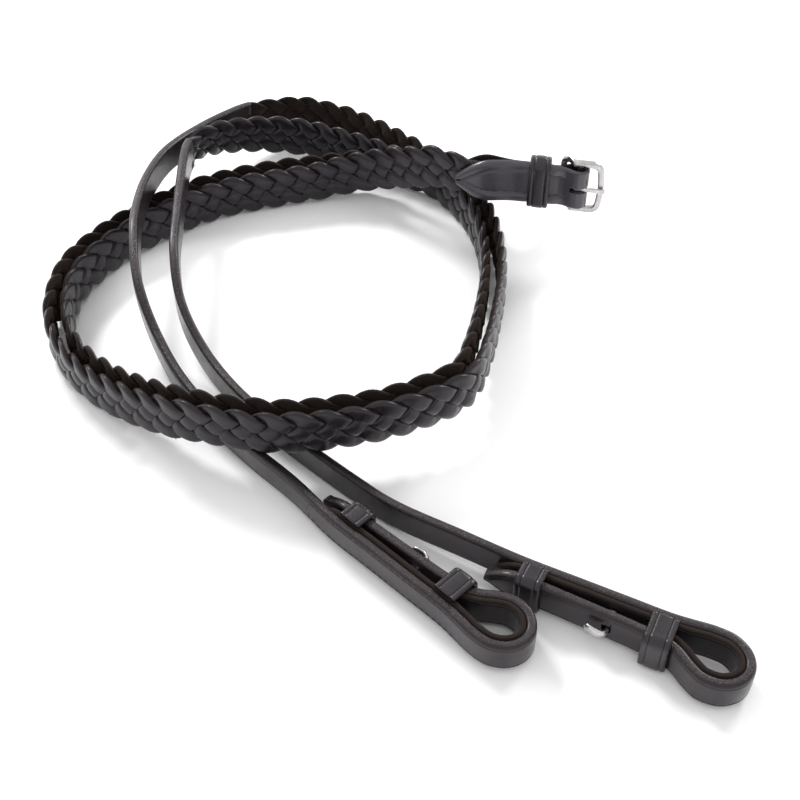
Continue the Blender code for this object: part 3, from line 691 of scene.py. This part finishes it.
def make_fibres(end, strands, count, seed):
    """Loose fibres that stand out from the strands' cut edges."""
    draw = random.Random(seed)
    vertices = []
    faces = []
    for _ in range(count):
        strand = draw.choice(strands)
        s = np.array([draw.uniform(6, strand.total - 16)])
        middle, wide, through = strand.frame(s)
        edge = draw.choice((-1, 1))
        root = middle[0] + wide[0] * edge * (STRAND_WIDTH / 2 - 0.15)
        root = root + through[0] * draw.uniform(-0.45, 0.45) * STRAND_THICKNESS
        lean = unit(wide[0] * edge + through[0] * draw.uniform(-0.8, 0.8)
                    + np.array([draw.uniform(-1, 1), 0, 0]))
        bend = unit(np.array([draw.uniform(-1, 1), draw.uniform(-0.6, 0.6), draw.uniform(-1, 1)]))
        reach = draw.uniform(0.4, 1.5)
        thick = draw.uniform(0.035, 0.075)
        sidelong = unit(np.cross(lean, (0.3, 0.5, 0.81)))
        other = np.cross(lean, sidelong)
        rings = []
        for share in (0.0, 0.4, 0.75, 1.0):
            centre = root + lean * reach * share + bend * reach * 0.5 * share ** 2
            slim = thick * (1 - 0.8 * share)
            rings += [centre + slim * (math.cos(turn) * sidelong + math.sin(turn) * other)
                      for turn in FIBRE_TURNS]
        first = len(vertices)
        carried = strand.carried(s, np.array(rings)[None])[0]
        carried[:, 2] = np.maximum(carried[:, 2], LOWEST_FIBRE)
        vertices += list(carried * MM)
        faces += prism_faces(first, 3, 4)
    mesh = bpy.data.meshes.new(end.name + "_edge_fibres")
    mesh.from_pydata([tuple(v) for v in vertices], [], faces)
    finish_piece(mesh, [CUT_EDGE])


# ---- the folded bit ends

def make_strap(end):
    """The hand strap: pointed billet, loop, and the main run up to the plait."""
    route = end.route
    point_length, widening = 12.0, 34.0

    def width(s):
        if s < point_length:
            return pointed(0, point_length, STRAP_WIDTH)(s)
        grown = max(0.0, (s - (end.splice - widening)) / widening)
        return STRAP_WIDTH + (PLAIT_WIDTH * float(plait_growth(0)) - STRAP_WIDTH) * grown ** 1.5

    places = spaced(0, end.splice - GAP, fixed=(0.4, 0.9, 2.0))
    mesh = strap_mesh(end.name + "_strap_finished", route, places, width, STRAP_THICKNESS,
                      -end.flesh, radius=1.25, crease=0.28, inset=STITCH_INSET, dome=0.22)
    piece = finish_piece(mesh, [SMOOTH, SMOOTH, BURNISHED], [end.name + "_strap"])
    hole = end.billet(HOOK_AT)
    cut_box(piece, route.at(hole), route.directions(hole), BILLET_SLIT)


def make_liner(end):
    """The thin liner along the flesh side, which turns into the loop."""
    offset = end.flesh * (STRAP_THICKNESS / 2 + 0.08 + LINER_THICKNESS / 2)
    finish = end.main(LINER_END)
    under_keeper = end.billet(FRONT_KEEPER_AT - 3)
    taper = pointed(finish, finish - 10, STRAP_WIDTH)
    mesh = strap_mesh(end.name + "_liner_finished", end.route, spaced(under_keeper, finish),
                      taper, LINER_THICKNESS, end.flesh,
                      across=offset, radius=0.8, crease=0.12, inset=1.6, dome=0.05)
    finish_piece(mesh, [SMOOTH, LINER, LINER], [end.name + "_liner"])


def band(name, centre, forward, outward, path, length, node):
    """A leather keeper bent along a path, given as (outward, sideways) points, with a
    bead along each of its edges."""
    sideways = np.cross(forward, outward)
    points = [centre + outward * out + sideways * side for out, side in path]
    route = Route(points, up=forward)
    middle = route.length / 2
    face = 1 if np.dot(route.directions(middle)[1], route.at(middle) - centre) > 0 else -1
    mesh = strap_mesh(name, route, spaced(0, route.length, step=0.5), length, KEEPER_WALL, face,
                      radius=0.7, crease=0.42, inset=2.1, dome=0.3)
    finish_piece(mesh, [KEEPER_LEATHER, LINER, BURNISHED], [node])


def make_keeper(end, forward, kind):
    """A fixed keeper: it holds the billet down on the liner."""
    s = end.main(forward)
    ahead, across, _ = end.route.directions(s)
    out = across * end.flesh
    middle = end.route.at(s)
    billet = [end.route.at(end.billet(forward + slack)) for slack in (0, -5.5, 5.5)]
    depth = max(float(np.dot(spot - middle, out)) for spot in billet)
    reach = depth + STRAP_THICKNESS / 2 + GAP + KEEPER_WALL / 2
    base = STRAP_THICKNESS / 2 + GAP
    half = STRAP_WIDTH / 2 + GAP + KEEPER_WALL / 2
    r = KEEPER_CORNER
    path = [(base, -half), (reach - 3.5, -half), (reach - r, -half),
            (reach - 0.28 * r, 0.72 * r - half), (reach, 1.6 * r - half), (reach, 0)]
    path += [(out_by, -side) for out_by, side in path[-2::-1]]
    path = [(out_by, -side) for out_by, side in path] if end.flesh > 0 else path
    band(end.name + kind + "_finished", middle, ahead, out, path, KEEPER_LENGTH, end.name + kind)


def make_hook_stud(end):
    """The stud: a plate on the liner, and a rounded hook that passes through the billet."""
    hole = end.route.at(end.billet(HOOK_AT))
    s = end.main(HOOK_AT)
    middle = end.route.at(s)
    ahead, across, up = end.route.directions(s)
    out = across * end.flesh
    floor_of_plate = STRAP_THICKNESS / 2 + 2 * GAP + LINER_THICKNESS
    rise = float(np.dot(hole - middle, out))
    crown = rise + STRAP_THICKNESS / 2 + 3.4
    path = [(0.2, floor_of_plate + 0.2), (0.2, rise), (0.2, crown - 2.4), (-0.5, crown - 0.6),
            (-2.4, crown), (-4.9, crown - 0.3), (-7.4, crown - 1.3)]
    start = hole - out * rise
    points = [start - ahead * along + out * height for along, height in path]
    hook = Route(points, up=up)
    marks = [hook.nearest_in_space(point) for point in points]
    turns = circle(20)
    rings = []
    for place in spaced(0, hook.length, step=0.35):
        half = float(np.interp(place, marks, HOOK_WIDTHS)) / 2
        tip = min(1.0, math.sqrt(max(0.02, (hook.length - place) / 1.2)))
        rings.append(hook.place(np.full(len(turns), place), 0.95 * tip * np.cos(turns),
                                half * tip * np.sin(turns)))
    finish_piece(lofted(end.name + "_hook", rings), [STEEL], [end.name + "_hook_stud"])
    seat = start + out * (floor_of_plate + 0.5)
    rings = [[seat + out * height + radius * (math.cos(turn) * ahead + math.sin(turn) * up)
              for turn in circle(32)] for height, radius in STUD_PLATE]
    finish_piece(lofted(end.name + "_stud_plate", rings), [STEEL])


# ---- stitches

def make_stitches(name, marks, node, material):
    """Separate stitches: each mark is (middle, along, outward), and both ends dip into
    the leather."""
    shares = (-0.5, -0.42, -0.25, 0.0, 0.25, 0.42, 0.5)
    vertices = []
    faces = []
    for middle, along, outward in marks:
        sidelong = np.cross(along, outward)
        first = len(vertices)
        for share in shares:
            thick = STITCH_RADIUS * math.sqrt(max(0.04, 1 - (2 * share) ** 4))
            dip = STITCH_DIP * (2 * share) ** 4
            centre = middle + along * STITCH_LENGTH * share - outward * dip
            vertices += [centre + thick * (math.cos(turn) * outward + math.sin(turn) * sidelong)
                         for turn in circle(STITCH_SIDES)]
        faces += prism_faces(first, STITCH_SIDES, len(shares))
    mesh = bpy.data.meshes.new(name)
    mesh.from_pydata([tuple(np.asarray(v) * MM) for v in vertices], [], faces)
    finish_piece(mesh, [material], [node])


def make_end_stitching(end):
    """Stitches along both edges of the grain side, which meet behind the liner's end."""
    side = -end.flesh * (STRAP_THICKNESS / 2 + 0.02)
    first, last = end.main(10), end.main(LINER_END + 2)
    row = STRAP_WIDTH / 2 - STITCH_INSET
    marks = []
    for height in (-row, row):
        for s in np.arange(first, last, STITCH_PITCH):
            forward, across, _ = end.route.directions(s)
            marks.append((end.route.place(s, side, height), forward, -across * end.flesh))
    for turn in np.arange(0.35, math.pi - 0.2, STITCH_PITCH / row):
        s = last + row * math.sin(turn)
        forward, across, up = end.route.directions(s)
        along = unit(forward * math.cos(turn) + up * math.sin(turn))
        marks.append((end.route.place(s, side, -row * math.cos(turn)), along, -across * end.flesh))
    make_stitches(end.name + "_stitches", marks, end.name + "_stitching", THREAD)


# ---- the point strap

def inner_plait_route(outer):
    """The second plait lies against the inner face of the first."""
    first = outer.nearest(from_layout([PLAITS_MEET])[0], last=200)
    last = outer.nearest(from_layout([PLAITS_PART])[0], first=450)
    beside = [tuple(outer.place(s, -PLAIT_SPACING)) for s in np.arange(first, last, 20.0)]
    return from_layout(INNER_PLAIT_START) + beside + from_layout(INNER_PLAIT_END)


def make_point_strap(end, start):
    """The plain pointed strap, with creased edges and three punched holes."""
    route = end.route
    finish = route.length - 1.0
    places = spaced(start, finish, fixed=(finish - 0.4, finish - 0.9))
    width = pointed(finish, finish - POINT_TAPER, POINT_WIDTH, least=0.2)
    mesh = strap_mesh("point_strap_finished", route, places, width, POINT_THICKNESS, -end.flesh,
                      radius=1.2, crease=0.26, inset=1.7, dome=0.18)
    piece = finish_piece(mesh, [SMOOTH, SMOOTH, BURNISHED], ["point_strap"])
    for hole in range(HOLES):
        s = finish - POINT_TAPER - 3 - HOLE_PITCH * hole
        forward, across, up = route.directions(s)
        cut_round(piece, route.at(s), (up, forward, across), HOLE_RADIUS, 8)


# ---- the buckle end

def chape_half_spread(along):
    """Half the distance between the middles of the two layers."""
    over_plait = 2.2 + GAP * 2.5 + CHAPE_LEATHER / 2
    flat = GAP / 2 + CHAPE_LEATHER / 2
    round_bar = BAR_RADIUS + 1.5 + CHAPE_LEATHER / 2
    flattened = eased((along + 46) / 20)
    near_bar = np.interp(along, [-24, -21.5, -8.5, -6, -2.5, 0],
                         [flat + 0.12, flat, flat, 1.6, 3.1, round_bar])
    return float(near_bar + (over_plait - flat - 0.12) * (1 - flattened))


def chape_reach(end, along):
    """Half the width of the chape, by the distance from the bar."""
    shaped = pointed(0, 15, CHAPE_WIDTH, least=0.2)(along + end.length) / 2
    fold = CHAPE_FOLD_WIDTH / CHAPE_WIDTH
    return shaped * float(np.interp(along, [-45, -24, -21.5, -12.5, -8.5, 2],
                                    [0.95, 0.95, 0.94, 0.93, 0.9, fold]))


def panel_reach(end, along):
    """Half the width of the flat panel between the two grooves of the front layer."""
    share = min(1.0, max(0.0, (along + end.length - 2.2) / 15.0))
    return float(np.interp(along, [-22, -9], [5.9, 5.3])) * math.sin(share * math.pi / 2) ** 1.15


def chape_profile(end, along, heights):
    """How far the front layer's face rises over a plain one, across its width: a roll
    along each edge, then a groove, then the flat panel."""
    reach = chape_reach(end, along)
    panel = panel_reach(end, along)
    fade = float(np.interp(along, [-9.5, -5], [1, 0]))
    roll_width = max(reach - panel, 0.6)
    centre = panel + roll_width * 0.48
    away = np.clip((np.abs(heights) - centre) / (roll_width * 0.52), -1, 1)
    roll = ROLL_HEIGHT * np.sqrt(np.maximum(0.0, 1 - away ** 2))
    groove = -GROOVE_DEPTH * np.exp(-((np.abs(heights) - panel) / GROOVE_WIDTH) ** 2)
    flat = 0.45 * (np.abs(heights) < panel) * (1 - (heights / max(panel, 0.5)) ** 8)
    return fade * (roll + groove + flat) + (1 - fade) * 0.15


def make_chape(end):
    """The leather that folds round the buckle's bar, as one loft from point to point.

    The loft follows the front layer to the bar, round it, and back along the rear
    layer: path gives (forward, across, along, front) for each of its rings.
    """
    shares = np.concatenate([[-1.0, -0.985, -0.955, -0.91], np.linspace(-0.87, 0.87, 59),
                             [0.91, 0.955, 0.985, 1.0]])
    rings = []
    runs = list(-end.length + np.array([0.0, 0.25, 0.6, 1.0, 1.6, 2.4, 3.4, 4.6]))
    runs += list(np.arange(-end.length + 6, -0.4, 0.9))
    radius = chape_half_spread(0.0)
    path = [(along, -chape_half_spread(along), along, 1) for along in runs]
    path += [(radius * math.sin(turn), -radius * math.cos(turn), 0.0, 1 if turn < math.pi / 2 else 0)
             for turn in np.linspace(0, math.pi, 17)]
    path += [(along, chape_half_spread(along), along, 0) for along in runs[::-1]]
    centres = np.array([end.spot(along, out) for along, out, _, _ in path])
    route = Route(centres, up=end.up, smooth=False)
    for number, (_, _, along, front) in enumerate(path):
        s = route.along[number]
        narrowed = 1.0 if front else float(np.interp(along, [-12, 0], [0.85, 1]))
        reach = chape_reach(end, along) * narrowed
        heights = reach * shares
        round_edge = np.sqrt(np.maximum(0.0, 1 - ((np.abs(shares) - 0.90) / 0.10).clip(0, 1) ** 2))
        outer = CHAPE_LEATHER / 2 * round_edge
        if front:
            outer = outer + chape_profile(end, along, heights) * round_edge
        inner = -CHAPE_LEATHER / 2 * round_edge
        around_across = np.concatenate([-outer, -inner[::-1][1:-1]])
        around_height = np.concatenate([heights, heights[::-1][1:-1]])
        rings.append(route.place(np.full(len(around_across), s), around_across, around_height))
    count = len(shares)
    faces = [0 if abs(shares[j]) < 0.9 else 2 for j in range(count - 1)] + [1] * (count - 1)
    mesh = lofted("buckle_chape_finished", rings, faces)
    # The chape's faces take the lightened leather, whose extra lightness is painted sheen.
    piece = finish_piece(mesh, [CHAPE_PAINTED_SHEEN, LINER, CHAPE_PAINTED_SHEEN],
                         ["buckle_chape"])
    cut_box(piece, end.spot(2.5, -1.2), (end.forward, end.across, end.up), TONGUE_SLOT)


def make_chape_keeper(end):
    """A closed band round both layers, with two creased lines on its front."""
    side = chape_half_spread(CHAPE_KEEPER_AT) + CHAPE_LEATHER / 2 + GAP + KEEPER_WALL / 2
    front = side + CHAPE_KEEPER_RISE
    half = CHAPE_WIDTH * 0.95 / 2 + GAP + KEEPER_WALL / 2
    r = CHAPE_KEEPER_CORNER
    path = [(-side, -GAP), (-side, r - half), (-side * 0.6, 0.5 - half), (0.2, -half),
            (front - 1.6 * r, 0.05 - half), (front - 0.3 * r, 0.75 * r - half),
            (front, 2.2 * r - half), (front, 0)]
    path += [(out, -height) for out, height in path[-2::-1]]
    band("chape_keeper_finished", end.spot(CHAPE_KEEPER_AT, 0), end.forward, -end.across, path,
         CHAPE_KEEPER_LENGTH, "chape_keeper")


def groove_face(along):
    """How far out the front layer's face is, in its groove."""
    return -(chape_half_spread(along) + CHAPE_LEATHER / 2 - 0.22)


def make_chape_stitching(end):
    """Stitches in both grooves of the front layer, which meet at its point."""
    places = np.append(np.arange(-23.0, 3.6 - end.length, -0.25), 3.5 - end.length).tolist()
    line = [(along, panel_reach(end, along)) for along in places]
    line += [(along, -reach) for along, reach in line[-2::-1]]
    points = [end.spot(along, groove_face(along), height) for along, height in line]
    route = Route(points, up=end.across, smooth=False)
    marks = []
    for s in np.arange(1.0, route.length - 0.6, STITCH_PITCH * 0.94):
        forward = route.directions(s, reach=0.8)[0]
        marks.append((route.at(s), forward, -end.across))
    # The stitches take the lighter thread, whose lightness paints the grooves' highlight.
    make_stitches("chape_stitches", marks, "chape_stitching", THREAD_PAINTED_HIGHLIGHT)


def rounded_loop(x0, x1, half, radius, bulge, step=0.5):
    """Points (forward, up) round a rounded rectangle, whose front side swells outwards."""
    points = []
    for cx, cy, first in ((x1 - radius, half - radius, 0), (x0 + radius, half - radius, 90),
                          (x0 + radius, radius - half, 180), (x1 - radius, radius - half, 270)):
        for turn in np.radians(np.linspace(first, first + 90, 12)):
            points.append((cx + radius * math.cos(turn), cy + radius * math.sin(turn)))
    points = np.array(points + points[:1])
    along = np.concatenate([[0], np.cumsum(np.linalg.norm(np.diff(points, axis=0), axis=1))])
    even = np.linspace(0, along[-1], int(along[-1] / step), endpoint=False)
    even = np.stack([np.interp(even, along, points[:, axis]) for axis in range(2)], axis=-1)
    near_front = np.clip((even[:, 0] - (x1 - radius)) / radius, 0, 1)
    even[:, 0] += bulge * near_front * np.cos(even[:, 1] / half * math.pi / 2)
    return even


def cranked(x):
    """How far the buckle's rear is set back behind the chape."""
    return FRAME_CRANK * eased((-2.4 - x) / 3.5)


def make_buckle_frame(end):
    """The cast frame, with softly rounded bars all round and a round centre bar."""
    half = FRAME_HEIGHT / 2
    inner_x = (-FRAME_REAR + FRAME_SIDE_BAR / 2, FRAME_FRONT - FRAME_SIDE_BAR / 2)
    middle = rounded_loop(*inner_x, half - FRAME_RAIL / 2, FRAME_CORNER, FRAME_BULGE)
    ahead = unit(np.roll(middle, -1, axis=0) - np.roll(middle, 1, axis=0))
    outward = np.stack([ahead[:, 1], -ahead[:, 0]], axis=-1)
    outward *= np.sign(np.sum(outward * middle, axis=1).mean())
    turns = circle(28)
    wide = np.sign(np.cos(turns)) * np.abs(np.cos(turns)) ** FRAME_SQUARENESS
    deep = np.sign(np.sin(turns)) * np.abs(np.sin(turns)) ** FRAME_SQUARENESS
    level = np.abs(outward[:, 1])
    widths = FRAME_SIDE_BAR / 2 + (FRAME_RAIL - FRAME_SIDE_BAR) / 2 * level
    rings = []
    for centre, out, width in zip(middle, outward, widths):
        flat = centre + wide[:, None] * width * out
        depth = FRAME_DEPTH * deep + cranked(flat[:, 0])
        rings.append(end.bar + flat[:, :1] * end.forward + depth[:, None] * end.across
                     + flat[:, 1:] * end.up)
    count, around = len(rings), len(turns)
    vertices = (np.array(rings) * MM).reshape(-1, 3)
    faces = [(i * around + j, i * around + (j + 1) % around, (i + 1) % count * around + (j + 1) % around,
              (i + 1) % count * around + j) for i in range(count) for j in range(around)]
    mesh = closed_mesh("buckle_frame_cast", vertices, faces)
    finish_piece(mesh, [STEEL], ["buckle_frame"], body="frame")
    turns = circle(24)
    rings = [end.bar + height * end.up + BAR_RADIUS * (np.cos(turns)[:, None] * end.forward
                                                      + np.sin(turns)[:, None] * end.across)
             for height in np.linspace(1.2 - half, half - 1.2, 24)]
    finish_piece(lofted("buckle_centre_bar", rings), [STEEL], body="frame")


def make_buckle_tongue():
    """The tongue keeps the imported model's shape, with its real finish."""
    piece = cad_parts["buckle_tongue"]
    piece.data.materials.clear()
    piece.data.materials.append(STEEL)


# ---- the setting

def make_floor():
    bpy.ops.mesh.primitive_plane_add(size=8)
    floor = bpy.context.object
    floor.name = "floor"
    white = bpy.data.materials.new("white_floor")
    white.use_nodes = True
    shader = white.node_tree.nodes["Principled BSDF"]
    shader.inputs["Base Color"].default_value = (0.95, 0.95, 0.95, 1)
    shader.inputs["Roughness"].default_value = 0.9
    shader.inputs["Specular IOR Level"].default_value = 0.1
    floor.data.materials.append(white)


def add_area_light(name, place, target, size, power):
    light = bpy.data.lights.new(name, "AREA")
    light.shape = "RECTANGLE"
    light.size, light.size_y = size
    light.energy = power
    lamp = bpy.data.objects.new(name, light)
    bpy.context.scene.collection.objects.link(lamp)
    lamp.location = place
    lamp.rotation_euler = (Vector(target) - Vector(place)).to_track_quat("-Z", "Y").to_euler()


def light_scene():
    """A white studio, with two small lights behind the reins for their sheen."""
    world = bpy.data.worlds.new("studio")
    bpy.context.scene.world = world
    world.use_nodes = True
    sky = world.node_tree.nodes["Background"]
    sky.inputs["Color"].default_value = (1, 1, 1, 1)
    sky.inputs["Strength"].default_value = WORLD_STRENGTH
    add_area_light("key", (-0.55, 0.80, 0.85), (0, 0.02, 0), (0.35, 0.2), 12.0)
    add_area_light("edge", (0.70, 0.75, 0.60), (0, 0.02, 0), (0.3, 0.2), 6.0)
    bpy.context.scene.view_settings.view_transform = "Standard"


def add_camera():
    data = bpy.data.cameras.new("camera")
    data.lens = CAMERA_LENS
    data.sensor_width = 36
    camera = bpy.data.objects.new("camera", data)
    bpy.context.scene.collection.objects.link(camera)
    camera.location = CAMERA_PLACE
    camera.rotation_euler = (math.radians(CAMERA_TILT), 0, 0)
    bpy.context.scene.camera = camera


# ---- the whole

add_camera()
light_scene()
make_floor()

buckle_end = BuckleEnd()
outer_plait = Route(from_layout(OUTER_PLAIT_ROUTE))
chape_line = [tuple(buckle_end.spot(along, 0)) for along in (-buckle_end.length, -47, -40, -33)]
point_rein = BitEnd("point_rein", (11.8, 259.4), (0.72, -0.694), -1, POINT_STRAP_ROUTE,
                    from_layout(OUTER_PLAIT_ROUTE + POINT_ROUTE))
buckle_rein = BitEnd("buckle_rein", (88.0, 252.8), (0.898, -0.441), 1, BUCKLE_STRAP_ROUTE,
                     inner_plait_route(outer_plait) + chape_line)
plait_finish = {
    "point_rein": point_rein.route.nearest(from_layout(OUTER_PLAIT_ROUTE[-1:])[0], first=800) + 6,
    "buckle_rein": buckle_rein.route.nearest(buckle_end.spot(PLAIT_END_IN_CHAPE, 0), first=800),
}
for number, end in enumerate((point_rein, buckle_rein)):
    make_strap(end)
    make_liner(end)
    make_keeper(end, FRONT_KEEPER_AT, "_front_keeper")
    make_keeper(end, REAR_KEEPER_AT, "_rear_keeper")
    make_hook_stud(end)
    make_end_stitching(end)
    woven = make_plait(end, end.splice, plait_finish[end.name])
    make_fibres(end, woven, FIBRES, seed=41 + number)
    if end is point_rein:
        make_point_strap(end, end.splice + woven[0].total + GAP)
make_chape(buckle_end)
make_chape_keeper(buckle_end)
make_chape_stitching(buckle_end)
make_buckle_frame(buckle_end)
make_buckle_tongue()
